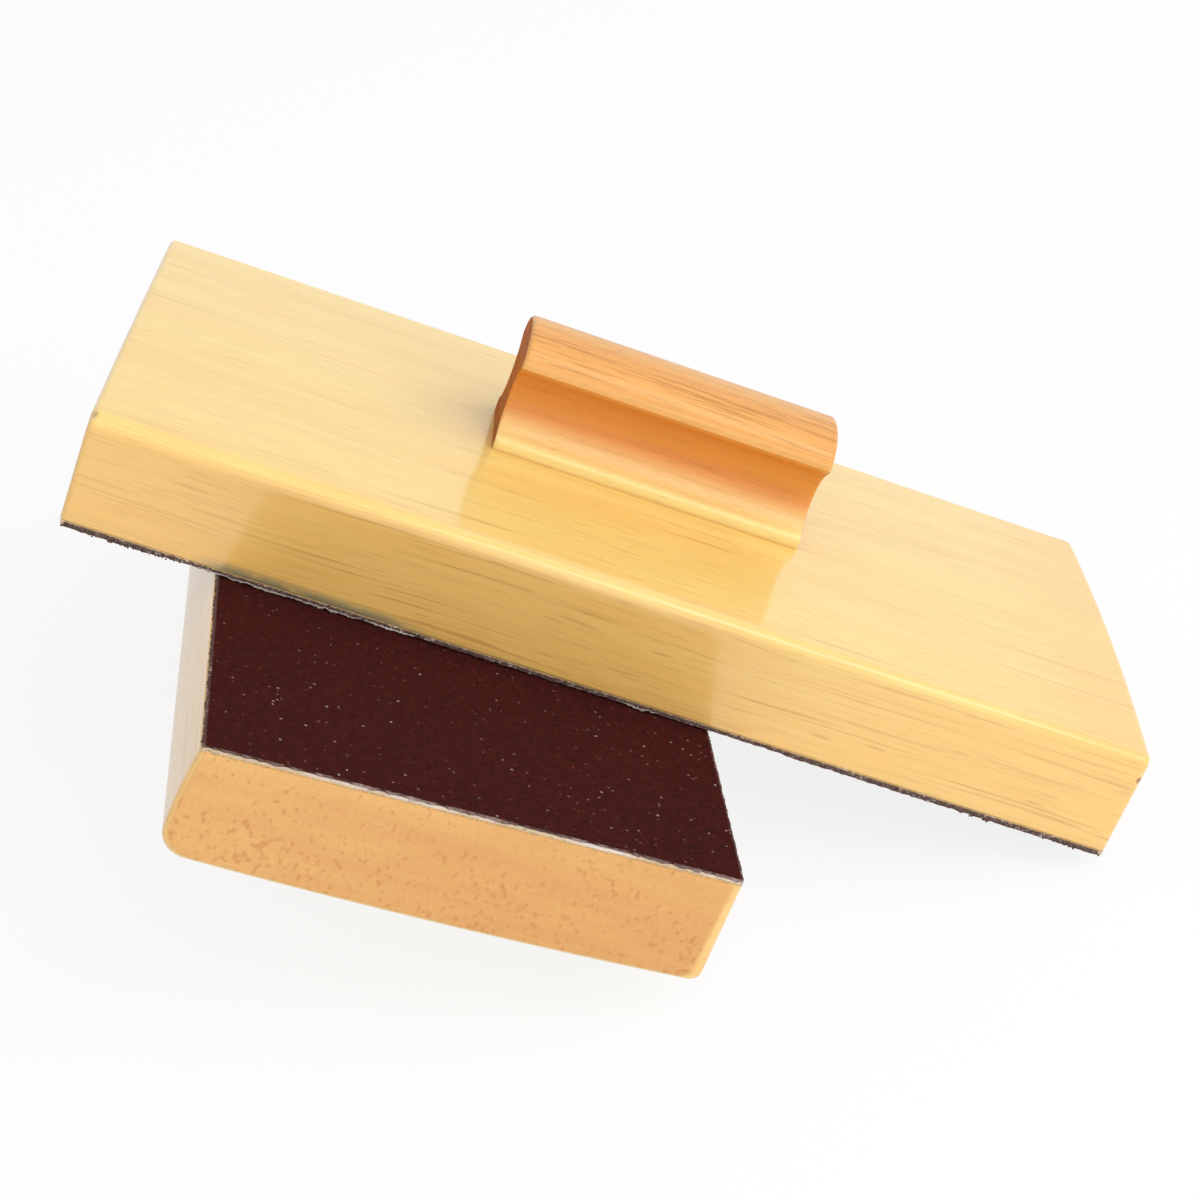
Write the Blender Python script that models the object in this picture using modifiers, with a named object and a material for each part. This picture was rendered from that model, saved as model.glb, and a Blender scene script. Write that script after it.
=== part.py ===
"""A pair of sand blocks: two equal wooden blocks with coved handles and abrasive soles.

The lower block lies upside down on its handle. The upper block lies across it, sole on sole,
and the pair leans until one corner of the upper block meets the table.
"""

from math import atan2, cos, pi, radians, sin

import bmesh
import bpy
from mathutils import Vector

# One wooden block: a board with a slightly crowned top and rounded long edges
BLOCK_LENGTH = 0.150
BLOCK_WIDTH = 0.0695
BLOCK_EDGE_HEIGHT = 0.0156
BLOCK_CROWN = 0.0006
BLOCK_EDGE_RADIUS = 0.0022
BLOCK_EASE = 0.0004

# Its handle: a moulding with a cove along each side and a domed top, set a little off centre
HANDLE_LENGTH = 0.0465
HANDLE_HEIGHT = 0.0173
HANDLE_FOOT_WIDTH = 0.0159
HANDLE_FOOT_EDGE = 0.0017
HANDLE_NECK_WIDTH = 0.0082
HANDLE_NECK_HEIGHT = 0.0061
HANDLE_LIP_WIDTH = 0.0129
HANDLE_LIP_HEIGHT = 0.0120
HANDLE_SHOULDER_REACH = 0.00125
HANDLE_SHOULDER_RISE = 0.0009
HANDLE_EASE = 0.0004
HANDLE_SHIFT_ALONG = 0.0011
HANDLE_SHIFT_ACROSS = 0.0025

# The sole: an abrasive coat on a cloth backing, glued on nearly flush with the block
SOLE_INSET = 0.0002
BACKING_THICKNESS = 0.00032
COAT_THICKNESS = 0.00033
GLUE_LINE = 0.00005

# Two countersunk screws hold each handle from below, under the sole
SCREW_END_DISTANCE = 0.00925
SCREW_DIAMETER = 0.0035
SCREW_HEAD_DIAMETER = 0.0068
SCREW_HEAD_EDGE = 0.0004
SCREW_POINT_LENGTH = 0.0035
SCREW_TIP_DIAMETER = 0.0008
SCREW_COVER = 0.0070
SCREW_SINK = 0.0003
SCREW_CLEARANCE = 0.00015
RECESS_SPAN = 0.0040
RECESS_WIDTH = 0.0009
RECESS_DEPTH = 0.0013

# How the upper block lies on the lower one, from the middle of one sole to that of the other
UPPER_ACROSS = 0.02185
UPPER_ALONG = -0.00364
UPPER_TURN = radians(-5.69)
SOLE_GAP = 0.0003

# Heights in a block's own frame, from the face of its abrasive coat upwards, and what follows
BACKING_Z = COAT_THICKNESS + GLUE_LINE
BLOCK_Z = BACKING_Z + BACKING_THICKNESS + GLUE_LINE
HANDLE_Z = BLOCK_Z + BLOCK_EDGE_HEIGHT + BLOCK_CROWN + GLUE_LINE
SCREW_Z = BLOCK_Z + SCREW_SINK
SCREW_LENGTH = HANDLE_Z + HANDLE_HEIGHT - SCREW_COVER - SCREW_Z
SCREW_SPACING = HANDLE_LENGTH - 2 * SCREW_END_DISTANCE
SOLE_LENGTH = BLOCK_LENGTH - 2 * SOLE_INSET
SOLE_WIDTH = BLOCK_WIDTH - 2 * SOLE_INSET

CROWN_STEPS = 20
ROUND_STEPS = 7
COVE_STEPS = 14
DOME_STEPS = 14
SCREW_STEPS = 24


def arc(centre, radii, start, end, steps):
    """Points on an ellipse's arc, both ends included."""
    turns = [start + (end - start) * i / steps for i in range(steps + 1)]
    return [(centre[0] + radii[0] * cos(t), centre[1] + radii[1] * sin(t)) for t in turns]


def arc_through(first, middle, last, steps):
    """Points on the circle through three points, from the first to the last."""
    start, to_middle = Vector(first), Vector(middle) - Vector(first)
    to_last = Vector(last) - start
    side = to_middle * to_last.length_squared - to_last * to_middle.length_squared
    to_centre = Vector((-side.y, side.x)) / (2 * to_middle.cross(to_last))
    centre, radius = start + to_centre, to_centre.length
    turn = (start - centre).angle_signed(Vector(last) - centre)
    begin = atan2(-to_centre.y, -to_centre.x)
    return arc(centre, (radius, radius), begin, begin - turn, steps)


def block_outline():
    """The board's cross-section, across and up, from its underside."""
    half, rise, radius = BLOCK_WIDTH / 2, BLOCK_EDGE_HEIGHT, BLOCK_EDGE_RADIUS
    flat = half - radius
    right = arc((flat, rise - radius), (radius, radius), 0, pi / 2, ROUND_STEPS)
    across = [flat * (1 - 2 * i / CROWN_STEPS) for i in range(1, CROWN_STEPS)]
    crown = [(y, rise + BLOCK_CROWN * (1 - (y / flat) ** 2)) for y in across]
    left = [(-y, z) for y, z in reversed(right)]
    return [(-half, 0), (half, 0)] + right + crown + left


def handle_outline():
    """The handle's cross-section, across and up, from its foot."""
    foot = (HANDLE_FOOT_WIDTH / 2, HANDLE_FOOT_EDGE)
    neck = (HANDLE_NECK_WIDTH / 2, HANDLE_NECK_HEIGHT)
    lip = (HANDLE_LIP_WIDTH / 2, HANDLE_LIP_HEIGHT)
    shoulder = (lip[0] + HANDLE_SHOULDER_REACH, lip[1] + HANDLE_SHOULDER_RISE)
    cove = arc_through(foot, neck, lip, COVE_STEPS)
    dome_size = (shoulder[0], HANDLE_HEIGHT - shoulder[1])
    dome = arc((0, shoulder[1]), dome_size, 0, pi / 2, DOME_STEPS)
    side = [(foot[0], 0)] + cove + dome
    return side + [(-y, z) for y, z in reversed(side[:-1])]


def screw_outline(grow, below):
    """A countersunk screw's profile, out from its axis and up, wider all round by grow."""
    head, shank = SCREW_HEAD_DIAMETER / 2 + grow, SCREW_DIAMETER / 2 + grow
    length = SCREW_LENGTH + grow
    return [
        (0, -below),
        (head, -below),
        (head, SCREW_HEAD_EDGE),
        (shank, SCREW_HEAD_EDGE + head - shank),
        (shank, length - SCREW_POINT_LENGTH),
        (SCREW_TIP_DIAMETER / 2 + grow, length),
        (0, length),
    ]


def place(name, data, frame, collection, location):
    part = bpy.data.objects.new(name, data)
    part.parent = frame
    part.location = location
    collection.objects.link(part)
    return part


def extruded(name, outline, length, frame, collection, location):
    """A cross-section, drawn across and up, extruded along the frame's X axis."""
    curve = bpy.data.curves.new(name, "CURVE")
    curve.dimensions = "2D"
    curve.fill_mode = "BOTH"
    curve.extrude = length / 2
    line = curve.splines.new("POLY")
    line.points.add(len(outline) - 1)
    for point, (across, up) in zip(line.points, outline):
        point.co = (across, up, 0, 1)
    line.use_cyclic_u = True
    drawn = bpy.data.objects.new(name, curve)
    data = bpy.data.meshes.new_from_object(drawn)
    bpy.data.objects.remove(drawn)
    part = place(name, data, frame, collection, location)
    part.rotation_euler = (pi / 2, 0, pi / 2)
    part.modifiers.new("join_caps", "WELD").merge_threshold = 1e-6
    return part


def turned(name, outline, frame, collection, location):
    """A profile turned about the frame's Z axis."""
    data = bpy.data.meshes.new(name)
    edges = [(i, i + 1) for i in range(len(outline) - 1)]
    data.from_pydata([(out, 0, up) for out, up in outline], edges, [])
    part = place(name, data, frame, collection, location)
    screw = part.modifiers.new("turn", "SCREW")
    screw.steps = SCREW_STEPS
    screw.render_steps = SCREW_STEPS
    screw.use_merge_vertices = True
    screw.merge_threshold = 1e-6
    screw.use_normal_calculate = True
    return part


def box(name, size, frame, collection, location):
    data = bpy.data.meshes.new(name)
    shape = bmesh.new()
    bmesh.ops.create_cube(shape, size=1)
    bmesh.ops.scale(shape, vec=size, verts=shape.verts)
    shape.to_mesh(data)
    shape.free()
    return place(name, data, frame, collection, location)


def ease(part, width):
    """Takes the sharpness off the square edges, as sanding does."""
    bevel = part.modifiers.new("ease", "BEVEL")
    bevel.width = width
    bevel.segments = 2
    bevel.limit_method = "ANGLE"
    bevel.angle_limit = radians(60)


def cut(part, cutter):
    away = part.modifiers.new(cutter.name, "BOOLEAN")
    away.operation = "DIFFERENCE"
    away.solver = "EXACT"
    away.object = cutter


def material(name, colour, roughness, metallic=0.0):
    finish = bpy.data.materials.new(name)
    finish.use_nodes = True
    shader = finish.node_tree.nodes["Principled BSDF"]
    shader.inputs["Base Color"].default_value = (*colour, 1)
    shader.inputs["Roughness"].default_value = roughness
    shader.inputs["Metallic"].default_value = metallic
    finish.diffuse_color = (*colour, 1)
    return finish


def add_screw(name, at, frame):
    """One screw with its cross recess, and the hole that it takes in block and handle."""
    screw = turned(name, screw_outline(0, 0), frame, parts, at)
    screw.data.materials.append(steel)
    for bar, turn in (("slot", 0), ("cross_slot", pi / 2)):
        size = (RECESS_SPAN, RECESS_WIDTH, 2 * RECESS_DEPTH)
        recess = box(f"{name}_{bar}", size, frame, cutters, at)
        recess.rotation_euler = (0, 0, turn)
        cut(screw, recess)
    hole = turned(f"{name}_hole", screw_outline(SCREW_CLEARANCE, SCREW_Z), frame, cutters, at)
    return screw, hole


def add_block(side, frame):
    """Every piece of one sand block, in the block's own frame."""
    middle = (0, 0, BLOCK_Z)
    block = extruded(f"{side}_block", block_outline(), BLOCK_LENGTH, frame, parts, middle)
    block.data.materials.append(pale_wood)
    ease(block, BLOCK_EASE)

    seat = (HANDLE_SHIFT_ALONG, HANDLE_SHIFT_ACROSS, HANDLE_Z)
    handle = extruded(f"{side}_handle", handle_outline(), HANDLE_LENGTH, frame, parts, seat)
    handle.data.materials.append(orange_wood)
    ease(handle, HANDLE_EASE)

    for end, offset in (("front", -SCREW_SPACING / 2), ("rear", SCREW_SPACING / 2)):
        at = (HANDLE_SHIFT_ALONG + offset, HANDLE_SHIFT_ACROSS, SCREW_Z)
        screw, hole = add_screw(f"{side}_screw_{end}", at, frame)
        cut(block, hole)
        cut(handle, hole)

    size, at = (SOLE_LENGTH, SOLE_WIDTH, BACKING_THICKNESS), BACKING_Z + BACKING_THICKNESS / 2
    backing = box(f"{side}_backing", size, frame, parts, (0, 0, at))
    backing.data.materials.append(backing_cloth)

    size, at = (SOLE_LENGTH, SOLE_WIDTH, COAT_THICKNESS), COAT_THICKNESS / 2
    abrasive = box(f"{side}_abrasive", size, frame, parts, (0, 0, at))
    abrasive.data.materials.append(maroon_abrasive)


def lean_angle():
    """The lean at which the lower handle's dome and the upper sole's corner are level.

    Seen along the lower block: across to the right, and up from the middle of the sole gap.
    """
    depth = SOLE_GAP / 2 + HANDLE_Z
    dome = [(HANDLE_SHIFT_ACROSS + y, -depth - z) for y, z in handle_outline()]
    reach = SOLE_LENGTH / 2 * cos(UPPER_TURN) + SOLE_WIDTH / 2 * abs(sin(UPPER_TURN))
    corner = (UPPER_ACROSS + reach, SOLE_GAP / 2)
    return max(atan2(corner[1] - z, corner[0] - x) for x, z in dome)


def stand_on_origin(frame):
    """Moves the pair so that the origin is the middle of its underside."""
    bpy.context.view_layer.update()
    graph = bpy.context.evaluated_depsgraph_get()
    points = []
    for part in parts.objects:
        if part.type == "EMPTY":
            continue
        solid = part.evaluated_get(graph)
        points += [solid.matrix_world @ v.co for v in solid.to_mesh().vertices]
        solid.to_mesh_clear()
    low = [min(p[i] for p in points) for i in range(3)]
    high = [max(p[i] for p in points) for i in range(3)]
    frame.location = (-(low[0] + high[0]) / 2, -(low[1] + high[1]) / 2, -low[2])


for old in list(bpy.data.objects):
    bpy.data.objects.remove(old)

pale_wood = material("pale_lacquered_wood", (0.80, 0.56, 0.24), 0.25)
orange_wood = material("orange_lacquered_wood", (0.72, 0.36, 0.11), 0.25)
backing_cloth = material("backing_cloth", (0.55, 0.50, 0.46), 0.9)
maroon_abrasive = material("maroon_abrasive", (0.055, 0.012, 0.012), 0.85)
steel = material("zinc_plated_steel", (0.62, 0.62, 0.60), 0.35, 1.0)

parts = bpy.data.collections.new("sand_blocks")
cutters = bpy.data.collections.new("cutters")
bpy.context.scene.collection.children.link(parts)
bpy.context.scene.collection.children.link(cutters)

pair = place("pair_frame", None, None, parts, (0, 0, 0))
pair.rotation_euler = (0, lean_angle(), 0)
lower = place("lower_frame", None, pair, parts, (0, 0, -SOLE_GAP / 2))
lower.rotation_euler = (pi, 0, pi / 2)
upper = place("upper_frame", None, pair, parts, (UPPER_ACROSS, UPPER_ALONG, SOLE_GAP / 2))
upper.rotation_euler = (0, 0, UPPER_TURN)

add_block("lower", lower)
add_block("upper", upper)
for cutter in cutters.objects:
    cutter.hide_render = True
    cutter.display_type = "WIRE"
stand_on_origin(pair)
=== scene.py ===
"""Looks of a pair of sand blocks, one laid across the other, on the frame of their solids."""

from math import atan2, cos, pi, radians, sin

import bpy
import numpy as np
from mathutils import Euler, Matrix, Vector, noise


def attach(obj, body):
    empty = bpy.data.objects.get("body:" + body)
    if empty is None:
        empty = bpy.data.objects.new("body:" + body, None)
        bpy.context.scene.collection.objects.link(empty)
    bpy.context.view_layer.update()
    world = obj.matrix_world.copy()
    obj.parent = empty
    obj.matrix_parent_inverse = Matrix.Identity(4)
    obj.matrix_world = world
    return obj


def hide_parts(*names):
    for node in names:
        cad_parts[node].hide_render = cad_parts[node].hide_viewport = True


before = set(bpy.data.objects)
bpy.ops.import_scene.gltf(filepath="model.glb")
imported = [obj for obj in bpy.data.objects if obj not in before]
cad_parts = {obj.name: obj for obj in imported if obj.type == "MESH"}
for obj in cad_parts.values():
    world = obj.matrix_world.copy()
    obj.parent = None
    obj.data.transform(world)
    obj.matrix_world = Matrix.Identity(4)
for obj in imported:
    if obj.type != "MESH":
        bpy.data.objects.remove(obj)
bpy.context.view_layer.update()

# Wooden boards
# Two boards of pale, straight-grained hardwood, sawn square at the ends, their backs sanded to a
# slight crown and their edges eased by hand, each a little differently, under clear gloss lacquer.
BOARD_LENGTH = 0.150
BOARD_WIDTH = 0.0695
BOARD_FOOT = 0.00075
BOARD_TOP = 0.01695
BOARD_CROWN = {"lower": 0.0006, "upper": 0.00045}
# The left and the right back edge, at the first end and at the last
BOARD_ROUNDING = {
    "lower": ((0.0036, 0.0014), (0.0036, 0.0014)),
    "upper": ((0.0025, 0.0013), (0.0012, 0.0013)),
}
BOARD_SWELL = {"lower": (0.0012, 0), "upper": (0, 0)}
BOARD_SOLE_ARRIS = 0.0003
BOARD_END_ARRIS = {"lower": 0.0010, "upper": 0.0009}
BOARD_CORNER_WIDER = {"lower": 2.4, "upper": 1.0}
BOARD_CORNER_LEAN = (0.75, 0.65)
BOARD_END_BELLY = {"lower": (0, 0), "upper": (0.00005, 0.0006)}
BOARD_STEP = 0.0025
BOARD_SHARP = radians(50)
FOOT_STEPS = 12
SOLE_ARRIS_STEPS = 4
SIDE_STEPS = 8
ROUNDING_STEPS = 12
BACK_STEPS = 44
END_STEPS = 5
END_RINGS = (0.2, 0.45, 0.7, 0.96)
END_RING_HEIGHT = (0.9, 0.1)
SUPPORT = 0.0003
ON_AXIS = 1e-9
SANDING = 0.00002
# Each wave of the sanding: how many to the metre along and across, its way of drift and its share
SANDING_WAVES = ((45, 60, 1, 1.0), (110, 150, -1, 0.5))
BOARD_SANDING_SEED = {"lower": 31, "upper": 0}
PALE_TIMBER = {"lower": (0.31, 0.127, 0.043), "upper": (0.0, 0.0, 0.0)}
PALE = (0.85, 0.555, 0.168, 1)
PALE_LIT_BACK = (0.845, 0.625, 0.195, 1)
HONEY = (0.82, 0.465, 0.115, 1)
HONEY_LIT_BACK = (0.825, 0.535, 0.138, 1)
BROWN_LINE = (0.47, 0.20, 0.047, 1)
END_GRAIN = (0.655, 0.300, 0.064, 1)
END_PALE = (0.775, 0.435, 0.114, 1)
END_PORE = (0.51, 0.165, 0.004, 1)
BRUISE = (0.26, 0.085, 0.025, 1)
SMEAR = (0.24, 0.22, 0.125, 1)
# Where each tone or mark starts and where it is full
BACK_FADE = (-0.0022, -0.0009)
SHADED_BACK_END = (0.052, 0.074)
PAINTED_LIGHT_SIDE = (0.0, 0.04)
LAST_HALF = (0.0, 0.01)
END_FADE = (-0.0002, -0.00002)
POROUS_HEIGHT = (0.002, 0.0135)
YELLOW_HEIGHT = (0.0048, 0.0012)
YELLOW_SIDE = (0.004, -0.034)
FLECKS = ((0.0307, 0.0044), (0.0623, 0.0047), (0.0060, 0.0089), (0.0384, 0.0053))
FLECK_SQUEEZE = (0.25, 1.0, 2.2)
FLECK_SIZE = (0.0006, 0.0001)
NICK = (-0.0749, -0.0334, 0.0163)
NICK_REACH = 0.0009
NICK_PUSH = (0.0004, 0.0001, -0.0003)
KNOCK = (0.0746, -0.0345, 0.0129)
BRUISES = ((NICK, (0.0010, 0.0004), 0.8), (KNOCK, (0.0007, 0.0003), 0.85))
SMEAR_START = (-0.058, -0.052)
SMEAR_END = (-0.022, -0.032)
SMEAR_FADE = (0.0019, 0.0003)
SMEAR_FRONT = (-0.0343, -0.0346)

# Each board's own frame: X along the board, Y across it, Z up from the face of its abrasive
PAIR_PLACE = (-0.0233924, 0, 0.033993)
PAIR_LEAN = radians(20.0197)
HALF_GAP = 0.00015
CROSSING_PLACE = (0.02185, -0.00364)
CROSSING_TURN = radians(-5.69)
pair = Matrix.Translation(PAIR_PLACE) @ Matrix.Rotation(PAIR_LEAN, 4, "Y")
upside_down = Euler((pi, 0, pi / 2)).to_matrix().to_4x4()
aslant = Matrix.Rotation(CROSSING_TURN, 4, "Z")
board_frames = {
    "lower": pair @ Matrix.Translation((0, 0, -HALF_GAP)) @ upside_down,
    "upper": pair @ Matrix.Translation((*CROSSING_PLACE, HALF_GAP)) @ aslant,
}


def arc(centre, radii, start, end, steps):
    """Points on an ellipse's arc, both ends included."""
    turns = np.linspace(start, end, steps + 1)
    return [(centre[0] + radii[0] * cos(t), centre[1] + radii[1] * sin(t)) for t in turns]


def closed(right, left):
    """A whole outline from two right halves, the second turned over, each from foot to top."""
    return right + [(-y, z) for y, z in reversed(left) if y > ON_AXIS]


def drawn_in(outline, depth, wider, share):
    """The outline drawn in by a depth at its sides and top, and then narrowed to a share of that.

    Its right side is drawn in by about so many times the depth as wider says, most at the top.
    """
    low, high = outline.min(0), outline.max(0)
    foot = np.array(((low[0] + high[0]) / 2, low[1]))
    depths = np.full_like(outline, depth)
    right = outline[:, 0] > foot[0]
    height = (outline[right, 1] - low[1]) / (high[1] - low[1])
    depths[right, 0] *= 1 + (wider - 1) * (BOARD_CORNER_LEAN[0] + BOARD_CORNER_LEAN[1] * height)
    points = foot + (outline - foot) * (1 - depths / (high - foot))
    middle = (points.min(0) + points.max(0)) / 2
    return middle + (points - middle) * (share, END_RING_HEIGHT[0] + END_RING_HEIGHT[1] * share)


def sanded(x, y, z, seed):
    """How far hand sanding has left the wood uneven there, in metres."""
    rub = 0
    for along, across, drift, share in SANDING_WAVES:
        rub += share * noise.noise(Vector((along * x, across * y, across * z + drift * seed)))
    return SANDING * rub


def tube(size, spans, first=0):
    """Faces round a row of rings, each of so many points, with a cap on both ends."""
    faces = []
    for ring in range(first, first + spans * size, size):
        for i in range(size):
            k = (i + 1) % size
            faces.append((ring + i, ring + k, ring + size + k, ring + size + i))
    last = first + spans * size
    faces.append(tuple(reversed(range(first, first + size))))
    faces.append(tuple(range(last, last + size)))
    return faces


def moulding(outlines, length, arris, step, seed, wider=1.0, belly=(0, 0)):
    """A cross-section run along X from one outline to another, its ends eased, sanded uneven."""
    first, last = (np.array(outline) for outline in outlines)
    easing = [(length / 2, arris, share) for share in END_RINGS]
    for turn in np.linspace(0, pi / 2, END_STEPS + 1):
        easing.append((length / 2 - arris * (1 - cos(turn)), arris * (1 - sin(turn)), 1))
    inner = length / 2 - arris - SUPPORT
    easing.append((inner, 0, 1))
    count = round(2 * inner / step)
    stations = [(-x, depth, share) for x, depth, share in easing]
    stations += [(inner * (2 * i / count - 1), 0, 1) for i in range(1, count)]
    stations += reversed(easing)
    widest = first[:, 0].max()
    points = []
    for x, depth, share in stations:
        outline = first + (last - first) * (x / length + 0.5)
        for y, z in drawn_in(outline, depth, wider, share):
            uneven = sanded(x, y, z, seed)
            bulge = (belly[1] if x > 0 else belly[0]) * (1 - (y / widest) ** 2)
            points.append((x * (1 + 2 * bulge / length), y + uneven, z + uneven))
    return np.array(points), tube(len(first), len(stations) - 1)


def fitted(name, side, points, faces, sharp=BOARD_SHARP):
    """A piece drawn in a board's own frame and set in its place, where it keeps its own points."""
    mesh = bpy.data.meshes.new(name)
    mesh.from_pydata([tuple(p) for p in points], [], faces)
    drawn = mesh.attributes.new("drawn", "FLOAT_VECTOR", "POINT")
    drawn.data.foreach_set("vector", np.asarray(points, np.float32).ravel())
    mesh.transform(board_frames[side])
    mesh.shade_smooth()
    mesh.set_sharp_from_angle(angle=sharp)
    piece = bpy.data.objects.new(name, mesh)
    bpy.context.scene.collection.objects.link(piece)
    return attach(piece, side)


class Tone:
    """A socket of a finish. Sums on it add the nodes that work them out."""

    def __init__(self, socket):
        self.socket = socket

    def node(self, kind, settings, sockets, output=0):
        """Any other node: its type, its settings, which are set first, and its sockets."""
        tree = self.socket.id_data
        made = tree.nodes.new("ShaderNode" + kind)
        for name, value in settings.items():
            setattr(made, name, value)
        for name, value in sockets.items():
            if isinstance(value, Tone):
                tree.links.new(value.socket, made.inputs[name])
            else:
                made.inputs[name].default_value = value
        return Tone(made.outputs[output])

    def sum(self, operation, first, second):
        """A Math node, or a Vector Math node if either side is a vector."""
        sorts = [t.socket.type for t in (first, second) if isinstance(t, Tone)]
        kind = "VectorMath" if "VECTOR" in sorts else "Math"
        return self.node(kind, {"operation": operation}, {0: first, 1: second})

    def __add__(self, other):
        return self.sum("ADD", self, other)

    def __radd__(self, other):
        return self.sum("ADD", other, self)

    def __sub__(self, other):
        return self.sum("SUBTRACT", self, other)

    def __rsub__(self, other):
        return self.sum("SUBTRACT", other, self)

    def __mul__(self, other):
        return self.sum("MULTIPLY", self, other)

    def __rmul__(self, other):
        return self.sum("MULTIPLY", other, self)

    def __abs__(self):
        return self.node("Math", {"operation": "ABSOLUTE"}, {0: self})

    def rise(self, low, high):
        """0 below low, 1 above high, and smooth between; falls if low is the higher."""
        easing = {"interpolation_type": "SMOOTHSTEP"}
        return self.node("MapRange", easing, {"Value": self, 1: low, 2: high})

    def near(self, edge, steps):
        """A rise between two places by an edge, so many metres past it, or short of it below 0."""
        return self.rise(edge + steps[0], edge + steps[1])

    def mix(self, none, full):
        """The colour none where this is 0, and full where it is 1 or more."""
        return self.node("Mix", {"data_type": "RGBA"}, {0: self, 6: none, 7: full}, 2)

    def cloud(self, spread, detail=2.0, roughness=0.5):
        """Noise at this place, with that many patches to the metre along X, Y and Z."""
        sockets = {"Vector": self * spread, "Scale": 1.0, "Detail": detail, "Roughness": roughness}
        return self.node("TexNoise", {}, sockets)

    def cells(self, spread, output):
        """Voronoi cells, that many to the metre: output 0 is the distance, 1 a colour each."""
        return self.node("TexVoronoi", {}, {"Vector": self * spread, "Scale": 1.0}, output)

    def part(self, output):
        """X, Y or Z of a place, as output 0, 1 or 2."""
        return self.node("SeparateXYZ", {}, {0: self}, output)

    def length(self):
        """How long a vector is."""
        return self.node("VectorMath", {"operation": "LENGTH"}, {0: self}, 1)

    def relief(self, height, strength=1.0):
        """A bump of that height in metres, to feed Normal."""
        return self.node("Bump", {}, {"Height": self, "Distance": height, "Strength": strength})


def finish(name, **steady):
    """A new material, its shader with the values that are the same all over, and its place."""
    made = bpy.data.materials.new(name)
    made.use_nodes = True
    shader = made.node_tree.nodes["Principled BSDF"]
    for socket, value in steady.items():
        shader.inputs[socket.replace("_", " ")].default_value = value
    drawn = made.node_tree.nodes.new("ShaderNodeAttribute")
    drawn.attribute_name = "drawn"
    return made, shader, Tone(drawn.outputs["Vector"])


def varies(shader, **sockets):
    """Links what changes over the surface to the shader's sockets."""
    for name, tone in sockets.items():
        shader.id_data.links.new(tone.socket, shader.inputs[name.replace("_", " ")])


def wandering(place, along, across, sway):
    """The place with the grain's slow sway added, so that lines along X aren't ruled."""
    drift = place.cloud((along, across, across), 1.0) * sway
    return place + drift.node("CombineXYZ", {}, {1: drift, 2: drift})


def board_half(rounding, swell, crown):
    """Across and up, from the middle of the board's underside to the middle of its back."""
    half, top = BOARD_WIDTH / 2, BOARD_TOP - crown
    low = (half - BOARD_SOLE_ARRIS, BOARD_FOOT + BOARD_SOLE_ARRIS)
    high = (half + swell - rounding, top - rounding)
    line = [(low[0] * i / FOOT_STEPS, BOARD_FOOT) for i in range(FOOT_STEPS)]
    line.append((low[0] - SUPPORT, BOARD_FOOT))
    line += arc(low, (BOARD_SOLE_ARRIS, BOARD_SOLE_ARRIS), -pi / 2, 0, SOLE_ARRIS_STEPS)
    for t in np.linspace(0, 1, SIDE_STEPS + 1)[1:-1]:
        line.append((half + swell * sin(t * pi / 2), low[1] + (high[1] - low[1]) * t))
    line += arc(high, (rounding, rounding), 0, pi / 2, ROUNDING_STEPS)
    for y in np.linspace(high[0], 0, BACK_STEPS + 1)[1:]:
        line.append((y, top + crown * (1 - (y / high[0]) ** 2)))
    return line


def board_outline(side, end):
    """Across and up, round the board at one end from the middle of its underside."""
    roundings, swells = BOARD_ROUNDING[side][end], BOARD_SWELL[side]
    left = board_half(roundings[0], swells[0], BOARD_CROWN[side])
    right = board_half(roundings[1], swells[1], BOARD_CROWN[side])
    return closed(right, left)


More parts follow.
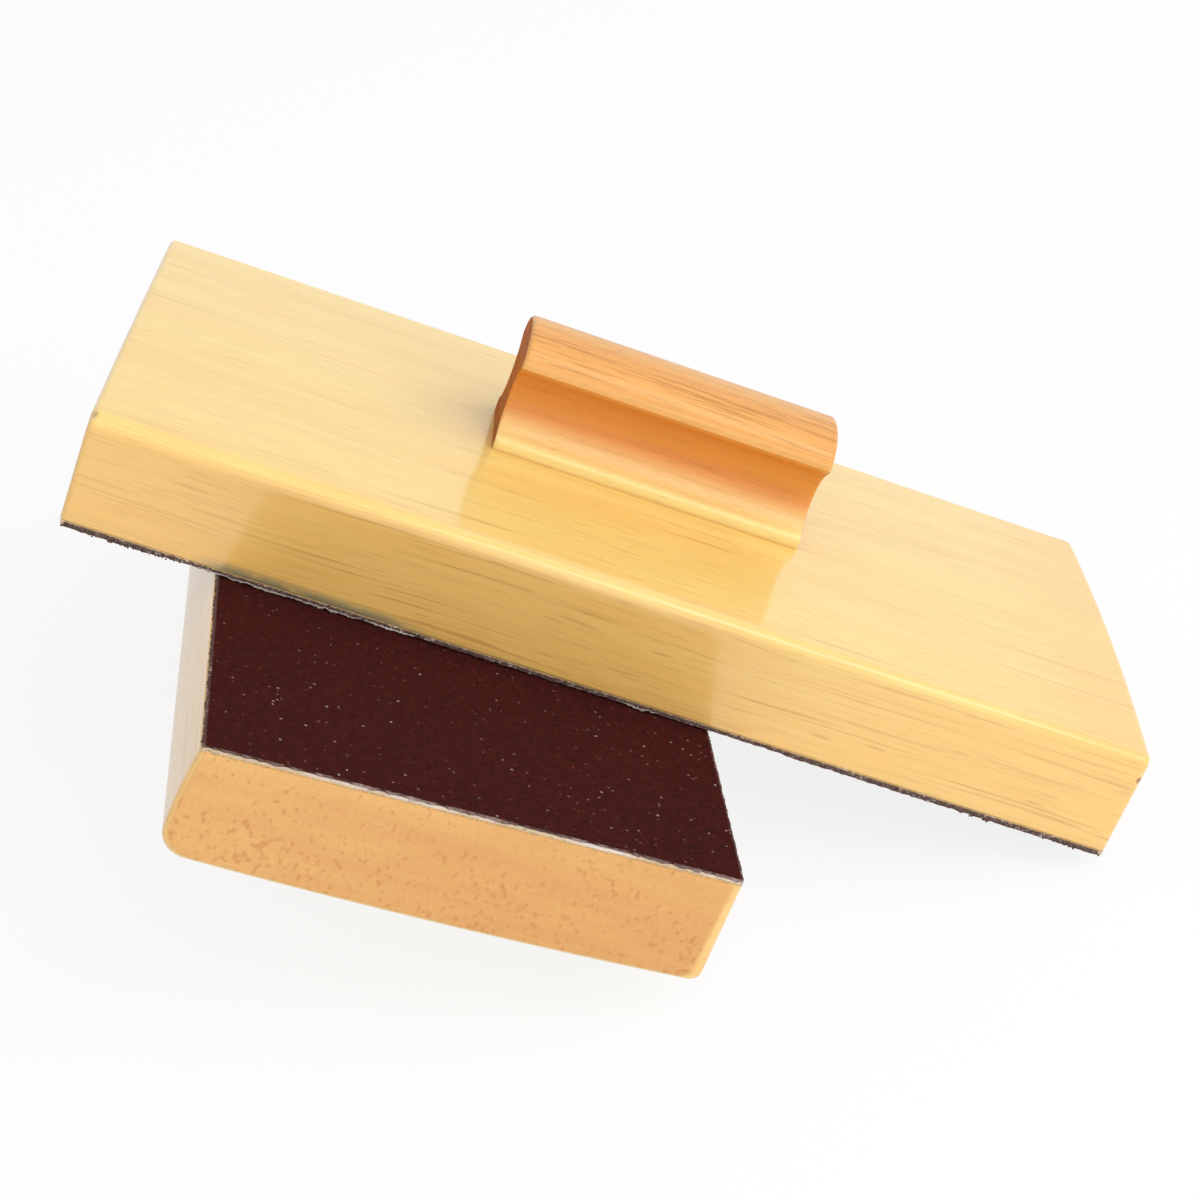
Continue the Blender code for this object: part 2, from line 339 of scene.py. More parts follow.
def pale_wood(side, offset):
    """Fine brown grain lines along the board, short pores, darker end grain, under lacquer, with
    painted light: a paler, yellower lit back, sides paler toward +X, and painted shade at the
    back's end toward +X.
    """
    lacquer = {"Coat_Weight": 1.0, "Coat_Roughness": 0.12, "Coat_IOR": 1.62}
    dry = {"Roughness": 0.42, "Specular_IOR_Level": 0.4}
    made, shader, place = finish(f"{side}_pale_wood", **dry, **lacquer)
    along, across, height = place.part(0), place.part(1), place.part(2)
    timber = wandering(place + offset, 14, 26, 0.004)
    bands = timber.cloud((4, 110, 110), 2.0).rise(0.3, 0.7)
    mottle = timber.cloud((70, 230, 230), 3.0, 0.6).rise(0.3, 0.7)
    streaks = timber.cloud((14, 800, 800), 3.0, 0.6)
    lines = timber.cloud((24, 1500, 1500), 2.0, 0.55).rise(0.58, 0.72)
    hairs = timber.cloud((60, 3000, 3000), 2.0, 0.6).rise(0.48, 0.70)
    pores = timber.cells((120, 1250, 1250), 0).rise(0.24, 0.10)
    pores = pores * timber.cells((120, 1250, 1250), 1).part(0).rise(0.62, 0.68)
    back = height.near(BOARD_TOP, BACK_FADE)
    honeyed = bands * 0.45 + mottle * 0.25 + streaks * 0.45 - 0.1
    # Painted shade: the back darker and browner toward the end at +X, where its sheen fades
    honeyed = honeyed + along.rise(*SHADED_BACK_END) * back * 0.6
    # Painted light: the sides paler toward the end at +X, as lit there
    honeyed = honeyed - along.rise(*PAINTED_LIGHT_SIDE) * (1 - back) * 0.4
    # Painted light: the back is a paler, yellower copy of the sides' wood, as if lit from above
    colour = honeyed.mix(back.mix(PALE, PALE_LIT_BACK), back.mix(HONEY, HONEY_LIT_BACK))
    colour = (lines * (0.10 + 0.30 * bands) + hairs * 0.20).mix(colour, BROWN_LINE)
    colour = (pores * 0.22).mix(colour, BROWN_LINE)

    bulge = (1 - across * across * (4 / BOARD_WIDTH**2)) * BOARD_END_BELLY[side][1]
    reach = abs(along) - along.rise(*LAST_HALF) * bulge
    ends = reach.near(BOARD_LENGTH / 2, END_FADE)
    growth = timber.cloud((20, 60, 500), 3.0, 0.6).rise(0.3, 0.7)
    speckle = timber.cloud((20, 1700, 1500), 3.0, 0.7).rise(0.35, 0.75)
    clusters = timber.cloud((20, 90, 140), 2.0) + height.rise(*POROUS_HEIGHT) * 0.3
    vessels = (timber.cloud((20, 1350, 1050), 1.0) + clusters * 0.22).rise(0.72, 0.90)
    yellower = height.rise(*YELLOW_HEIGHT) * 0.35 + across.rise(*YELLOW_SIDE) * 0.3
    end_face = (growth * 0.35 + yellower).mix(END_GRAIN, END_PALE)
    end_face = (vessels * 0.55 + speckle * 0.16).mix(end_face, END_PORE)
    colour = ends.mix(colour, end_face)

    if side == "upper":
        for x, z in FLECKS:
            spot = (place - (x, -BOARD_WIDTH / 2, z)) * FLECK_SQUEEZE
            colour = (spot.length().rise(*FLECK_SIZE) * 0.45).mix(colour, BROWN_LINE)
        for spot, size, strength in BRUISES:
            colour = ((place - spot).length().rise(*size) * strength).mix(colour, BRUISE)
        stretch = along.rise(*SMEAR_START) * along.rise(*SMEAR_END)
        low_edge = height.near(BOARD_FOOT, SMEAR_FADE) * across.rise(*SMEAR_FRONT)
        dirt = place.cloud((260, 900, 900), 3.0, 0.6).rise(0.2, 0.55)
        colour = (stretch * low_edge * dirt * 0.9).mix(colour, SMEAR)
    relief = (1 - lines * 0.6 - pores).relief(0.00002, 0.5)
    varies(shader, Base_Color=colour, Normal=relief)
    return made


for side, offset in PALE_TIMBER.items():
    points, faces = moulding(
        [board_outline(side, end) for end in (0, 1)],
        BOARD_LENGTH,
        BOARD_END_ARRIS[side],
        BOARD_STEP,
        BOARD_SANDING_SEED[side],
        BOARD_CORNER_WIDER[side],
        BOARD_END_BELLY[side],
    )
    if side == "upper":
        for point in points:
            reach = 1 - (Vector(point) - Vector(NICK)).length / NICK_REACH
            if reach > 0:
                point += np.array(NICK_PUSH) * reach
    board = fitted(f"{side}_board", side, points, faces)
    board.data.materials.append(pale_wood(side, offset))
    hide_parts(f"{side}_block")

# Handles
# A length of orange-stained moulding on the back of each board, with a cove along both sides for
# the fingertips and a domed top. It is sawn to length, eased by hand, screwed on and lacquered.
HANDLE_LENGTH = 0.0465
HANDLE_HEIGHT = 0.0173
HANDLE_FOOT_WIDTH = 0.0159
HANDLE_FOOT_EDGE = 0.0017
HANDLE_FOOT_FIT = 0.00014
HANDLE_NECK_WIDTH = 0.0082
HANDLE_NECK_HEIGHT = 0.0061
HANDLE_LIP_WIDTH = 0.0129
HANDLE_LIP_HEIGHT = 0.0120
HANDLE_SHOULDER = (0.00125, 0.0009)
HANDLE_ARRIS = 0.0006
HANDLE_PLACE = (0.0011, 0.0025, 0.0170)
HANDLE_STEP = 0.002
HANDLE_SHARP = radians(38)
HANDLE_FOOT_STEPS = 6
COVE_STEPS = 36
DOME_STEPS = 40
# Points close to the foot, lip and shoulder that take the sharpness off them
FOOT_CHAMFER = 0.0001
FOOT_SUPPORT = 0.0003
FOOT_BLUNTED = 0.00008
LIP_BLUNTED = ((-0.0001, -0.0001), (0.00015, 0.00008))
SHOULDER_BLUNTED = (-0.0003, -0.0002)
HANDLE_SANDING_SEED = {"lower": 12, "upper": 7}
ORANGE_TIMBER = {"lower": (0.05, 0.02, 0.07), "upper": (0.0, 0.0, 0.0)}
ORANGE = (0.73, 0.298, 0.056, 1)
RUSSET = (0.65, 0.205, 0.033, 1)
RUSSET_LINE = (0.40, 0.145, 0.024, 1)
RUBBED_AND_LIT_YELLOW = (0.88, 0.67, 0.26, 1)
RUSSET_END = (0.52, 0.17, 0.045, 1)
RUSSET_PORE = (0.27, 0.075, 0.018, 1)
# Where each tone starts and where it is full, most as heights above the board's back
CREST_HEIGHT = (0.0134, 0.0148)
FOOT_FADE = (0.0005, -0.0001)
COVE_HEIGHT = (0.0062, 0.0019)
LIP_ABOVE_EDGE = 0.0010
LIP_FADE = (0.0013, 0.0007)
JOINT_SHADE_HEIGHT = (0.0005, 0.0001)
HANDLE_END_FADE = (-0.0001, -0.00002)


def through(first, middle, last, steps):
    """Points on the circle through three points, from the first to the last."""
    start, to_middle = Vector(first), Vector(middle) - Vector(first)
    to_last = Vector(last) - start
    side_on = to_middle * to_last.length_squared - to_last * to_middle.length_squared
    to_centre = Vector((-side_on.y, side_on.x)) / (2 * to_middle.cross(to_last))
    centre, radius = start + to_centre, to_centre.length
    turn = (start - centre).angle_signed(Vector(last) - centre)
    begin = atan2(-to_centre.y, -to_centre.x)
    return arc(centre, (radius, radius), begin, begin - turn, steps)


def handle_outline():
    """Across and up, round the handle from the middle of its foot, fitted to the board's crown."""
    foot = (HANDLE_FOOT_WIDTH / 2, HANDLE_FOOT_EDGE)
    neck = (HANDLE_NECK_WIDTH / 2, HANDLE_NECK_HEIGHT)
    lip = (HANDLE_LIP_WIDTH / 2, HANDLE_LIP_HEIGHT)
    shoulder = (lip[0] + HANDLE_SHOULDER[0], lip[1] + HANDLE_SHOULDER[1])
    line = [(foot[0] * i / HANDLE_FOOT_STEPS, -HANDLE_FOOT_FIT) for i in range(HANDLE_FOOT_STEPS)]
    line.append((foot[0] - FOOT_CHAMFER, -HANDLE_FOOT_FIT))
    line += [(foot[0], 0), (foot[0], foot[1] - FOOT_SUPPORT)]
    line.append((foot[0] - FOOT_BLUNTED, foot[1] - FOOT_BLUNTED))
    line += through(foot, neck, lip, COVE_STEPS)[1:-1]
    line += [(lip[0] + out, lip[1] + up) for out, up in LIP_BLUNTED]
    line.append((shoulder[0] + SHOULDER_BLUNTED[0], shoulder[1] + SHOULDER_BLUNTED[1]))
    dome = (shoulder[0], HANDLE_HEIGHT - shoulder[1])
    line += arc((0, shoulder[1]), dome, 0, pi / 2, DOME_STEPS)
    return closed(line, line)


def orange_wood(name, offset):
    """Brown grain lines in orange stain, rubbed paler and with painted light on the foot, cove,
    lips and crest, and painted shade along the foot's joint.
    """
    made, shader, place = finish(name, Roughness=0.45, Specular_IOR_Level=0.0, Coat_Roughness=0.28)
    timber = wandering(place + offset, 16, 34, 0.003)
    bands = timber.cloud((10, 240, 240), 2.0).rise(0.3, 0.7)
    streaks = timber.cloud((26, 1300, 1300), 3.0, 0.6)
    lines = timber.cloud((80, 2400, 2400), 2.0, 0.6).rise(0.50, 0.66)
    pores = timber.cells((260, 1900, 1900), 0).rise(0.26, 0.12)
    height = place.part(2) - HANDLE_PLACE[2]
    crest = height.rise(*CREST_HEIGHT)
    foot = height.near(HANDLE_FOOT_EDGE, FOOT_FADE)
    cove = height.rise(*COVE_HEIGHT)
    lip = abs(height - HANDLE_LIP_HEIGHT - LIP_ABOVE_EDGE).rise(*LIP_FADE)
    # Painted light and wear: the foot, lower cove, lips and crest rubbed paler and painted pale
    # yellow, as lit
    rubbed_and_lit = (foot * 0.5 + cove * 0.75 + lip * 0.3 + crest * 0.25) * (0.75 + 0.5 * streaks)
    colour = (bands * 0.6 + streaks * 0.5 - 0.1).mix(ORANGE, RUSSET)
    colour = rubbed_and_lit.mix(colour, RUBBED_AND_LIT_YELLOW)
    grain = (0.10 + 0.2 * bands + 0.32 * crest) * (1 - cove * 0.7)
    colour = (lines * grain + pores * 0.2).mix(colour, RUSSET_LINE)
    # Painted shade: darker russet at the very foot, along the joint with the board
    colour = (height.rise(*JOINT_SHADE_HEIGHT) * 0.3).mix(colour, RUSSET)
    ends = abs(place.part(0) - HANDLE_PLACE[0]).near(HANDLE_LENGTH / 2, HANDLE_END_FADE)
    growth = timber.cloud((20, 260, 1100), 3.0, 0.65).rise(0.35, 0.7)
    end_face = (pores * 0.35 + growth * 0.45).mix(RUSSET_END, RUSSET_PORE)
    colour = ends.mix(colour, end_face)
    relief = (1 - lines * 0.7 - pores * 0.5).relief(0.00003, 0.6)
    varies(shader, Base_Color=colour, Normal=relief, Coat_Weight=0.9 - ends * 0.8)
    return made


for side, offset in ORANGE_TIMBER.items():
    points, faces = moulding(
        [handle_outline()] * 2,
        HANDLE_LENGTH,
        HANDLE_ARRIS,
        HANDLE_STEP,
        HANDLE_SANDING_SEED[side],
    )
    handle = fitted(f"{side}_grip", side, points + np.array(HANDLE_PLACE), faces, HANDLE_SHARP)
    handle.data.materials.append(orange_wood(f"{side}_orange_wood", offset))
    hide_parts(f"{side}_handle")

# Cloth backing
# The stiff woven cloth that carries the grit, glued to the board's underside and knifed off nearly
# flush. Its ends fray into pale threads, and its long edges are painted grey for resin and shade,
# with grit and dust, paler on the lower sheet as lit and darker on the upper as shaded.
SOLE_LENGTH = 0.1496
SOLE_WIDTH = 0.0691
COAT_THICKNESS = 0.00033
GLUED = 0.00003
CLOTH_SEED = {"lower": 3, "upper": 8}
CLOTH_PITCH = 0.0004
CLOTH_LEVELS = (0, 0.35, 0.7, 1)
CLOTH_LEVEL_SEED = 0.37
# On the long edges and on the ends
CLOTH_RAGGED = (0.00009, 0.00012)
# Each wave of a knifed edge: how many to the metre, which noise it takes and its share
RAGGED_WAVES = ((160, 0.5, 0.45), (900, 1.5, 0.6), (2600, 2.5, 0.5))
SHEET_SAG = 0.0002
SAG_BEYOND = (-0.060, 0.025)
SAG_FADE = 0.004
# Of the edges at -Y, +X, +Y and -X, the share of places with a loose thread
FRAYED = {"lower": (0.40, 0.45, 0.08, 0.75), "upper": (0.12, 0.45, 0.08, 0.45)}
THREAD = 0.00005
THREAD_PITCH = 0.00012
THREAD_REACH = (0.00015, 0.0005)
# On the long edges and on the ends
THREAD_REACH_SHARE = (0.8, 1.0)
THREAD_ROOT = 0.0001
THREAD_LEVEL = (0.1, 0.9)
THREAD_SWAY = 0.7
THREAD_LIFT = (-0.35, 0.8)
THREAD_TAPER = ((0.0, 1.0), (0.4, 0.9), (0.75, 0.7), (1.0, 0.3))
THREAD_CORNERS = (0.5, 2.6, 4.7)
PULLED = ((-0.0560, -0.0405), (-0.0425, -0.0335), (-0.0330, -0.0260), (0.0035, 0.0085))
PULLED_THREAD = 0.00018
PULLED_POINTS = 60
PULLED_HEIGHT = 0.00028
PULLED_DROP = 0.0002
PULLED_STAND = 0.0002
PULLED_RAGGED = (0.0002, 0.00012)
PULLED_UNEVEN = (0.4, 1.2)
# Painted light and shade: more pale specks on the lower sheet's edges, as lit, fewer on the
# upper's, as shaded
DUST_AND_LIGHT = {"lower": 0.55, "upper": 0.25}
PALE_THREAD = (0.74, 0.64, 0.57, 1)
TAN_THREAD = (0.62, 0.46, 0.27, 1)
TAN_EDGE = (0.62, 0.40, 0.16, 1)
RESIN_AND_SHADE_GREY = (0.10, 0.07, 0.062, 1)
CLOTH_END_FADE = (-0.0008, -0.0002)
CLOTH_BEYOND = (0.00008, 0.00018)
CLEAN_HEIGHT = (0.00058, 0.00068)
WHITE_HEIGHT = (0.00072, 0.00045)


def ragged(along, seed, depth):
    """How far a knifed edge stands out there, in metres."""
    out = 0
    for spread, level, share in RAGGED_WAVES:
        out += share * noise.noise(Vector((along * spread, seed, level)))
    return depth * out


def sag(side, x, y):
    """How far the upper sheet's front edge hangs where nothing is under it, in metres."""
    if side == "lower":
        return 0
    free = np.clip(max(SAG_BEYOND[0] - x, x - SAG_BEYOND[1]) / SAG_FADE, 0, 1)
    return SHEET_SAG * free * np.clip(1 - (y + SOLE_WIDTH / 2) / SAG_FADE, 0, 1) ** 2


def rim(length, width, pitch):
    """Points round a rectangle, each with its way out, its edge and its distance along that."""
    walk = []
    corners = [(-1, -1), (1, -1), (1, 1), (-1, 1)]
    for edge, (a, b) in enumerate(zip(corners, corners[1:] + corners[:1])):
        span = length if edge % 2 == 0 else width
        out = ((0, -1), (1, 0), (0, 1), (-1, 0))[edge]
        count = round(span / pitch)
        for t in np.arange(count) / count:
            x, y = (a[0] * (1 - t) + b[0] * t), (a[1] * (1 - t) + b[1] * t)
            walk.append((x * length / 2, y * width / 2, out, edge, t * span))
    return walk


def spun(path, across, points, faces):
    """Adds one thread along a path of (place, thickness), its rings drawn in across and up."""
    faces += tube(len(THREAD_CORNERS), len(path) - 1, len(points))
    for middle, thick in path:
        for turn in THREAD_CORNERS:
            points.append(middle + thick * (across * cos(turn) + np.array((0, 0, sin(turn)))))


def threads(side, seed):
    """Loose threads of the cut cloth, as many on each edge as it is frayed, and some pulled out."""
    draw = np.random.default_rng(seed)
    points, faces = [], []
    for x, y, out, edge, _ in rim(SOLE_LENGTH, SOLE_WIDTH, THREAD_PITCH):
        if draw.random() > FRAYED[side][edge]:
            continue
        reach = draw.uniform(*THREAD_REACH) * THREAD_REACH_SHARE[edge % 2]
        height = COAT_THICKNESS + draw.uniform(*THREAD_LEVEL) * (BOARD_FOOT - COAT_THICKNESS)
        root = np.array((x, y, height - sag(side, x, y)))
        outward = np.array((*out, 0.0))
        aside = np.array((-out[1], out[0], 0.0))
        swing = aside * draw.normal(0, THREAD_SWAY) + np.array((0, 0, draw.uniform(*THREAD_LIFT)))
        path = []
        for step, thick in THREAD_TAPER:
            bend = outward * step + swing * step**2
            path.append((root - outward * THREAD_ROOT + bend * reach, THREAD * thick))
        spun(path, aside, points, faces)
    for start, end in PULLED if side == "upper" else ():
        path = []
        for t in np.linspace(0, 1, PULLED_POINTS):
            x = start + (end - start) * t
            drop = PULLED_DROP * sin(pi * t) ** 0.5 + ragged(x, seed + start, PULLED_RAGGED[0])
            stand = SOLE_WIDTH / 2 + PULLED_STAND + ragged(x, seed + end, PULLED_RAGGED[1])
            thick = PULLED_THREAD * (0.2 + 0.8 * sin(pi * t)) * draw.uniform(*PULLED_UNEVEN)
            path.append((np.array((x, -stand, PULLED_HEIGHT - drop)), thick))
        spun(path, np.array((0, 1, 0)), points, faces)
    return points, faces


def cloth_slab(side, seed):
    """The backing's slab, ragged all round and bedded in glue on both its faces."""
    walk = rim(SOLE_LENGTH, SOLE_WIDTH, CLOTH_PITCH)
    low, high = COAT_THICKNESS - GLUED, BOARD_FOOT + GLUED
    points = []
    for level, share in enumerate(CLOTH_LEVELS):
        for x, y, out, edge, along in walk:
            stand = ragged(along + edge, seed + CLOTH_LEVEL_SEED * level, CLOTH_RAGGED[edge % 2])
            z = low + (high - low) * share - sag(side, x, y) * (1 - share)
            points.append((x + out[0] * stand, y + out[1] * stand, z))
    return points, tube(len(walk), len(CLOTH_LEVELS) - 1)


def backing_cloth(name, dust_and_light):
    """Pale frayed threads at the ends, and elsewhere edges painted grey for resin and shade, with
    pale specks of dust, more where the sheet is painted as lit.
    """
    made, shader, place = finish(name, Roughness=0.9, Specular_IOR_Level=0.2)
    ends = abs(place.part(0)).near(SOLE_LENGTH / 2, CLOTH_END_FADE)
    specks = place.cloud((1500, 1500, 2600), 3.0, 0.65)
    dusty = place.cloud((90, 90, 90), 2.0).rise(0.45, 0.62)
    beyond = abs(place.part(1)).near(SOLE_WIDTH / 2, CLOTH_BEYOND)
    pale = specks.rise(0.56 - 0.2 * dust_and_light, 0.66) * (dust_and_light + 0.5 * dusty)
    pale = pale + beyond * (0.75 + 0.25 * dusty)
    weave = place.node("TexWave", {}, {"Vector": place * (1800, 1800, 1800), "Scale": 1.0})
    clean = (place.part(2) + specks * 0.0002).rise(*CLEAN_HEIGHT)
    # Painted shade and resin: the long edges dark grey, under the pale specks
    colour = pale.mix((clean * 0.85).mix(RESIN_AND_SHADE_GREY, TAN_EDGE), PALE_THREAD)
    whiter = place.part(2).rise(*WHITE_HEIGHT) * (0.25 + 0.75 * dusty)
    frayed = whiter.mix(TAN_THREAD, PALE_THREAD)
    colour = (ends * specks.rise(0.2, 0.42)).mix(colour, frayed)
    varies(shader, Base_Color=colour, Normal=(weave * 0.4 + specks).relief(0.00008, 0.8))
    return made


for side, seed in CLOTH_SEED.items():
    points, faces = cloth_slab(side, seed)
    loose, wisps = threads(side, seed)
    faces += [tuple(len(points) + i for i in face) for face in wisps]
    cloth = fitted(f"{side}_cloth", side, points + [tuple(p) for p in loose], faces)
    cloth.data.materials.append(backing_cloth(f"{side}_backing_cloth", DUST_AND_LIGHT[side]))
    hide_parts(f"{side}_backing")

# Abrasive coat
# A coarse maroon grit bound in dark resin on the cloth's face. A few grains have glints painted on,
# the knife has chipped the rim pale, and loose grains cling below the upper sheet's front edge.
GRIT_SEED = {"lower": 21, "upper": 34}
GRIT_PITCH = 0.0005
GRIT_LUMP = (-0.00006, 0.00008)
END_RAGGED = 0.0006
END_TORN_BACK = 0.0002
END_TORN_LIMITS = (-0.0004, 0.0001)
END_BURR = 0.00005
SIDE_RAGGED = 0.00014
SIDE_TORN_BACK = 0.00002
SIDE_BURR = 0.00006
SIDE_SEED = 5
EDGE_GRAINS = 420
EDGE_GRAIN_SPAN = 0.0745
EDGE_GRAIN_HEIGHT = (0.00015, 0.0006)
FRONT_EDGE_SHARE = 0.6
# Where grains cling below the edge, and how many
CLINGING = ((-0.0665, 16), (-0.0640, 14), (-0.0605, 12), (0.0560, 12), (0.0690, 10))
CLINGING_SPREAD = 0.0012
CLINGING_HEIGHT = (0.00004, 0.00025)
GRAIN_SIZE = (0.00006, 0.0002)
GRAIN_STAND = (-0.00005, 0.0001)
GRAIN_UNEVEN = (0.6, 1.3)
NEIGHBOURS = 1.2
GRAIN_SPREAD = (3200, 3200, 3200)
FACET_SPREAD = (1900, 1900, 1900)
MAROON = (0.066, 0.0105, 0.0080, 1)
DARK_MAROON = (0.020, 0.0052, 0.0052, 1)
RUDDY = (0.22, 0.055, 0.035, 1)
GLINT_PAINT = (0.52, 0.39, 0.35, 1)
CHIPPED = (0.62, 0.48, 0.43, 1)
CHIPPED_END_FADE = (-0.00045, -0.0001)
CHIPPED_SIDE_FADE = (-0.0004, 0)


def grit_sheet(side, seed):
    """The coat as a grid of small lumps, with a ragged, burred rim and a plain back."""
    draw = np.random.default_rng(seed)
    columns, rows = round(SOLE_LENGTH / GRIT_PITCH), round(SOLE_WIDTH / GRIT_PITCH)
    points = []
    for j in range(rows + 1):
        for i in range(columns + 1):
            x = (i / columns - 0.5) * SOLE_LENGTH
            y = (j / rows - 0.5) * SOLE_WIDTH
            z = draw.uniform(*GRIT_LUMP) - sag(side, x, y)
            if i in (0, columns):
                torn = ragged(y, seed + i, END_RAGGED) - END_TORN_BACK
                x += (1 if i else -1) * np.clip(torn, *END_TORN_LIMITS)
                z -= draw.uniform(0, END_BURR)
            if j in (0, rows):
                torn = ragged(x, seed + j + SIDE_SEED, SIDE_RAGGED) - SIDE_TORN_BACK
                y += (1 if j else -1) * torn
                z -= draw.uniform(0, SIDE_BURR)
            points.append((x, y, z))
    wide = columns + 1
    faces = []
    for j in range(rows):
        for i in range(columns):
            a = j * wide + i
            faces.append((a, a + wide, a + wide + 1, a + 1))
    edge = list(range(columns))
    edge += [j * wide + columns for j in range(rows)]
    edge += [rows * wide + i for i in range(columns, 0, -1)]
    edge += [j * wide for j in range(rows, 0, -1)]
    first = len(points)
    for x, y, _ in [points[e] for e in edge]:
        points.append((x, y, COAT_THICKNESS - sag(side, x, y)))
    for i in range(len(edge)):
        k = (i + 1) % len(edge)
        faces.append((edge[i], edge[k], first + k, first + i))
    faces.append(tuple(range(first, first + len(edge))))
    return points, faces


def whole_grain():
    """The 12 corners and 20 faces of a grain before it is broken, all corners 1 from its middle."""
    golden = (1 + 5**0.5) / 2
    corners = []
    for a, b in ((-1, -golden), (1, -golden), (-1, golden), (1, golden)):
        corners += [(0, a, b), (a, b, 0), (b, 0, a)]
    corners = np.array(corners) / np.linalg.norm(corners[0])
    hull = []
    count = len(corners)
    for a in range(count):
        for b in range(a + 1, count):
            for c in range(b + 1, count):
                sides = [corners[a] - corners[b], corners[b] - corners[c], corners[c] - corners[a]]
                if max(np.linalg.norm(s) for s in sides) < NEIGHBOURS:
                    flip = np.dot(np.cross(sides[0], sides[1]), corners[a]) < 0
                    hull.append((a, c, b) if flip else (a, b, c))
    return corners, hull


def loose_grains(side, seed):
    """Small broken grains in the sheet's long edges, and some that cling below the upper's."""
    draw = np.random.default_rng(seed)
    corners, hull = whole_grain()
    places = list(draw.uniform(-EDGE_GRAIN_SPAN, EDGE_GRAIN_SPAN, EDGE_GRAINS))
    for middle, count in CLINGING if side == "upper" else ():
        places += list(draw.normal(middle, CLINGING_SPREAD, count))
    points, faces = [], []
    for number, x in enumerate(places):
        clings = number >= EDGE_GRAINS
        out = -1 if clings or draw.random() < FRONT_EDGE_SHARE else 1
        size = draw.uniform(*GRAIN_SIZE)
        y = out * (SOLE_WIDTH / 2 + draw.uniform(*GRAIN_STAND))
        z = draw.uniform(*CLINGING_HEIGHT) - size if clings else draw.uniform(*EDGE_GRAIN_HEIGHT)
        z -= sag(side, x, y)
        first = len(points)
        for corner in corners:
            points.append(np.array((x, y, z)) + corner * size * draw.uniform(*GRAIN_UNEVEN))
        faces += [tuple(first + i for i in face) for face in hull]
    return [tuple(p) for p in points], faces


def maroon_abrasive(name):
    """Grains of maroon grit, a few with painted glints, and a rim chipped pale, most at the ends.
    """
    made, shader, place = finish(name, Specular_IOR_Level=0.05)
    grains = place.cells(GRAIN_SPREAD, 0)
    shade = place.cells(GRAIN_SPREAD, 1).part(0)
    clumps = place.cloud((900, 900, 900), 3.0, 0.7).rise(0.3, 0.7)
    patches = place.cloud((60, 60, 60), 2.0)
    facets = place.cells(FACET_SPREAD, 1)
    inside = place.cells(FACET_SPREAD, 0).rise(0.5, 0.15)
    flocked = place.cloud((130, 130, 130), 3.0) * 0.16 - 0.08
    painted_glint = (facets.part(1) + flocked).rise(0.955, 0.995) * (0.15 + 0.6 * facets.part(2)) * inside
    ruddy = facets.part(0).rise(0.95, 0.97) * facets.part(2) * inside
    chips = place.cloud((1300, 1300, 1300), 3.0, 0.7)
    dusty = place.cloud((90, 90, 90), 2.0).rise(0.42, 0.62)
    ends = abs(place.part(0)).near(SOLE_LENGTH / 2, CHIPPED_END_FADE)
    edges = abs(place.part(1)).near(SOLE_WIDTH / 2, CHIPPED_SIDE_FADE)
    chipped = ends * (0.35 + 0.35 * chips.rise(0.35, 0.65)) * (0.4 + 0.6 * dusty)
    chipped = chipped + edges * (0.12 + chips.rise(0.54, 0.62) * (0.15 + 0.55 * dusty))
    colour = (shade * 0.45 + clumps * 0.35 + patches * 0.25).mix(DARK_MAROON, MAROON)
    colour = (ruddy * 0.5).mix(colour, RUDDY)
    # Painted glints: a few grains made pale, as if catching the light
    colour = (painted_glint * 0.9).mix(colour, GLINT_PAINT)
    colour = chipped.mix(colour, CHIPPED)
    rough = 0.85 - painted_glint * 0.6
    varies(shader, Base_Color=colour, Roughness=rough, Normal=(1 - grains).relief(0.0001, 0.9))
    return made


for side, seed in GRIT_SEED.items():
    points, faces = grit_sheet(side, seed)
    loose, lumps = loose_grains(side, seed)
    faces += [tuple(len(points) + i for i in face) for face in lumps]
    grit = fitted(f"{side}_grit", side, points + loose, faces)
    grit.data.materials.append(maroon_abrasive(f"{side}_maroon_abrasive"))
    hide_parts(f"{side}_abrasive")

# Screws
# Two countersunk steel screws hold each handle from under the board. They are zinc plated, and the
# abrasive sheet is glued over their heads, so the solids stay as they are, in a plated finish.
ZINC = (0.60, 0.60, 0.58, 1)
DULL_ZINC = (0.42, 0.42, 0.41, 1)

zinc_plate = bpy.data.materials.new("zinc_plate")
zinc_plate.use_nodes = True
zinc_shader = zinc_plate.node_tree.nodes["Principled BSDF"]
zinc_shader.inputs["Metallic"].default_value = 1.0
turned_place = Tone(zinc_plate.node_tree.nodes.new("ShaderNodeTexCoord").outputs["Object"])
spangle = turned_place.cloud((1400, 1400, 1400), 3.0, 0.6)
varies(zinc_shader, Base_Color=spangle.rise(0.35, 0.65).mix(DULL_ZINC, ZINC))
varies(zinc_shader, Roughness=0.28 + 0.2 * spangle, Normal=spangle.relief(0.00001, 0.4))
for name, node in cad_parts.items():
    if "screw" in name:
        node.data.materials.clear()
        node.data.materials.append(zinc_plate)

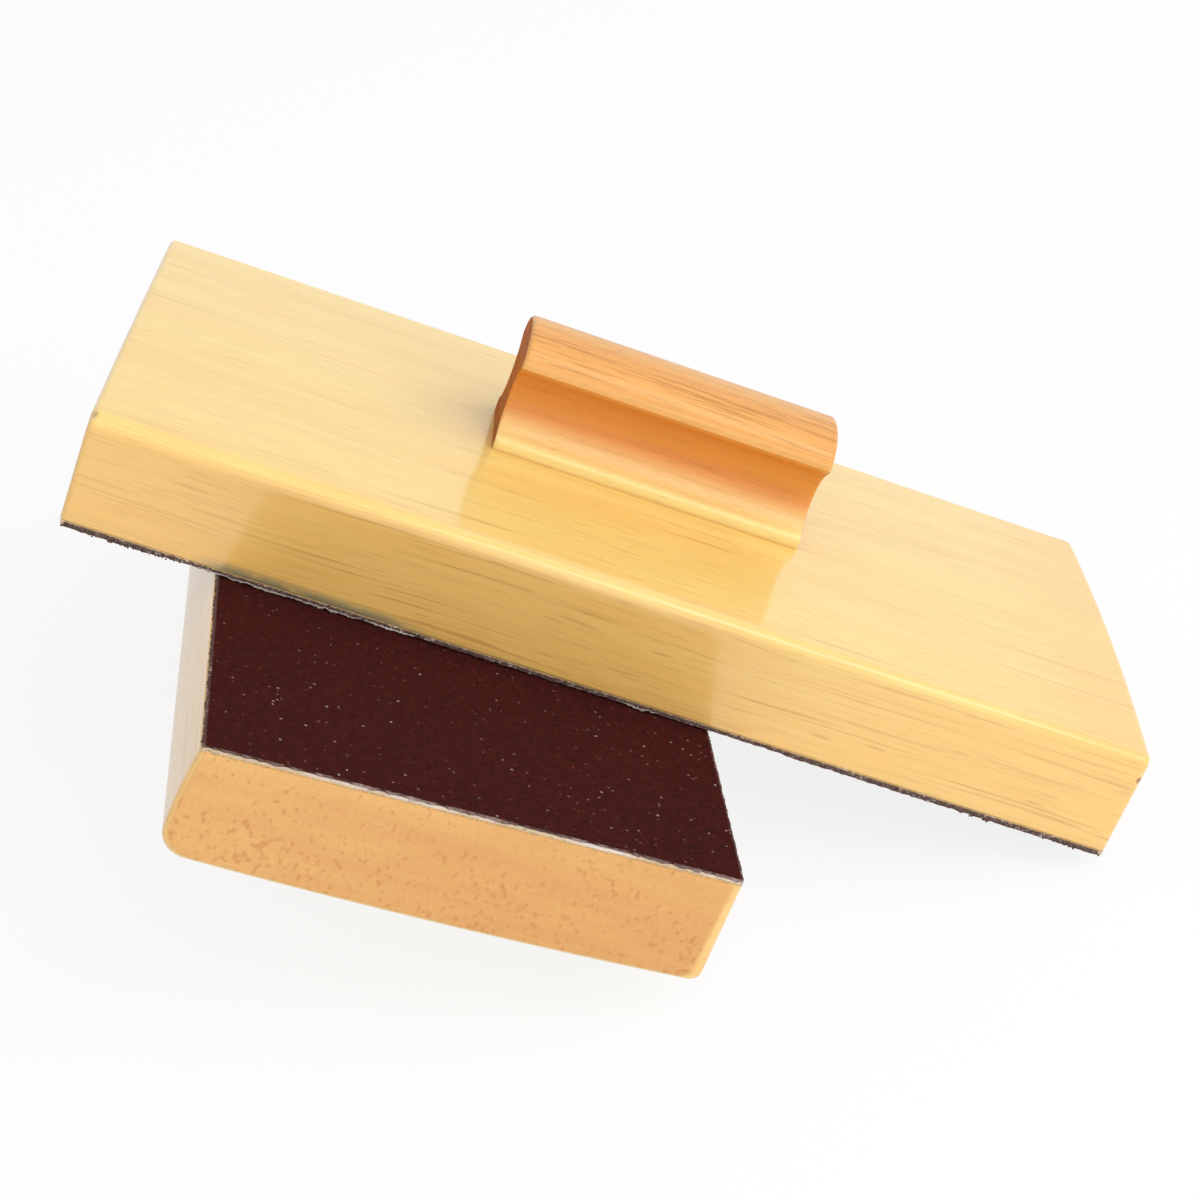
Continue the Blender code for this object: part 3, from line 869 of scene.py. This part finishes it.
# Floor, light and camera
# A white paper sweep under an even white surround. A broad soft lamp is high in front, one on the
# right, and a small one between them, which alone shows in the lacquer. The camera is in front.
PAPER = (0.9, 0.9, 0.9, 1)
PAPER_REACH = 4
PAPER_LEVEL = -0.00002
PAPER_SEEN_WHITE = 0.85
PAPER_MIRRORED_WHITE = 0.6
WHITE = (1, 1, 1, 1)
SURROUND = 0.64
LAMPS = {
    "broad_lamp": {"place": (0.52, -0.95, 0.8), "size": 1.6, "power": 11.9, "mirrored": False},
    "side_lamp": {"place": (0.95, 0.05, 0.6), "size": 0.5, "power": 2.4, "mirrored": False},
    "small_lamp": {"place": (0.50, -0.43, 0.75), "size": 0.4, "power": 0.9, "mirrored": True},
}
CAMERA_SENSOR = 36.0
CAMERA_LENS = 76.5
CAMERA_PLACE = (-0.0324, -0.33227, 0.20612)
CAMERA_LOOKS = (0.07919, 0.87122, -0.48446)


def rays_at(tree):
    """1 for the rays that see this straight, and 1 for those that see it in gloss or glass."""
    rays = tree.nodes.new("ShaderNodeLightPath").outputs
    straight = Tone(rays["Is Camera Ray"])
    return straight, Tone(rays["Is Glossy Ray"]) + Tone(rays["Is Transmission Ray"])


paper_sheet = bpy.data.meshes.new("paper_floor")
paper_corners = [
    (-PAPER_REACH, -PAPER_REACH, PAPER_LEVEL),
    (PAPER_REACH, -PAPER_REACH, PAPER_LEVEL),
    (PAPER_REACH, PAPER_REACH, PAPER_LEVEL),
    (-PAPER_REACH, PAPER_REACH, PAPER_LEVEL),
]
paper_sheet.from_pydata(paper_corners, [], [(0, 1, 2, 3)])
floor = bpy.data.objects.new("paper_floor", paper_sheet)
bpy.context.scene.collection.objects.link(floor)
paper = bpy.data.materials.new("white_paper")
paper.use_nodes = True
paper.node_tree.nodes.clear()
straight, mirrored = rays_at(paper.node_tree)
seen = straight * PAPER_SEEN_WHITE + mirrored * PAPER_MIRRORED_WHITE
matt = seen.node("BsdfDiffuse", {}, {"Color": PAPER})
glow = seen.node("Emission", {}, {"Color": WHITE, "Strength": 1.0})
both = seen.node("MixShader", {}, {0: seen, 1: matt, 2: glow})
output = paper.node_tree.nodes.new("ShaderNodeOutputMaterial")
paper.node_tree.links.new(both.socket, output.inputs["Surface"])
paper_sheet.materials.append(paper)

world = bpy.data.worlds.new("white_surround")
bpy.context.scene.world = world
world.use_nodes = True
surround = world.node_tree.nodes["Background"]
surround.inputs["Color"].default_value = WHITE
straight, mirrored = rays_at(world.node_tree)
level = SURROUND + (straight + mirrored) * (1 - SURROUND)
world.node_tree.links.new(level.socket, surround.inputs["Strength"])

for name, setting in LAMPS.items():
    lamp = bpy.data.objects.new(name, bpy.data.lights.new(name, "AREA"))
    lamp.data.energy = setting["power"]
    lamp.data.size = setting["size"]
    lamp.location = setting["place"]
    lamp.visible_glossy = setting["mirrored"]
    lamp.rotation_euler = (-lamp.location).to_track_quat("-Z", "Y").to_euler()
    bpy.context.scene.collection.objects.link(lamp)

camera = bpy.data.objects.new("camera", bpy.data.cameras.new("camera"))
camera.data.sensor_width = CAMERA_SENSOR
camera.data.lens = CAMERA_LENS
camera.location = CAMERA_PLACE
camera.rotation_euler = Vector(CAMERA_LOOKS).to_track_quat("-Z", "Y").to_euler()
bpy.context.scene.collection.objects.link(camera)
bpy.context.scene.camera = camera
bpy.context.scene.view_settings.view_transform = "Standard"
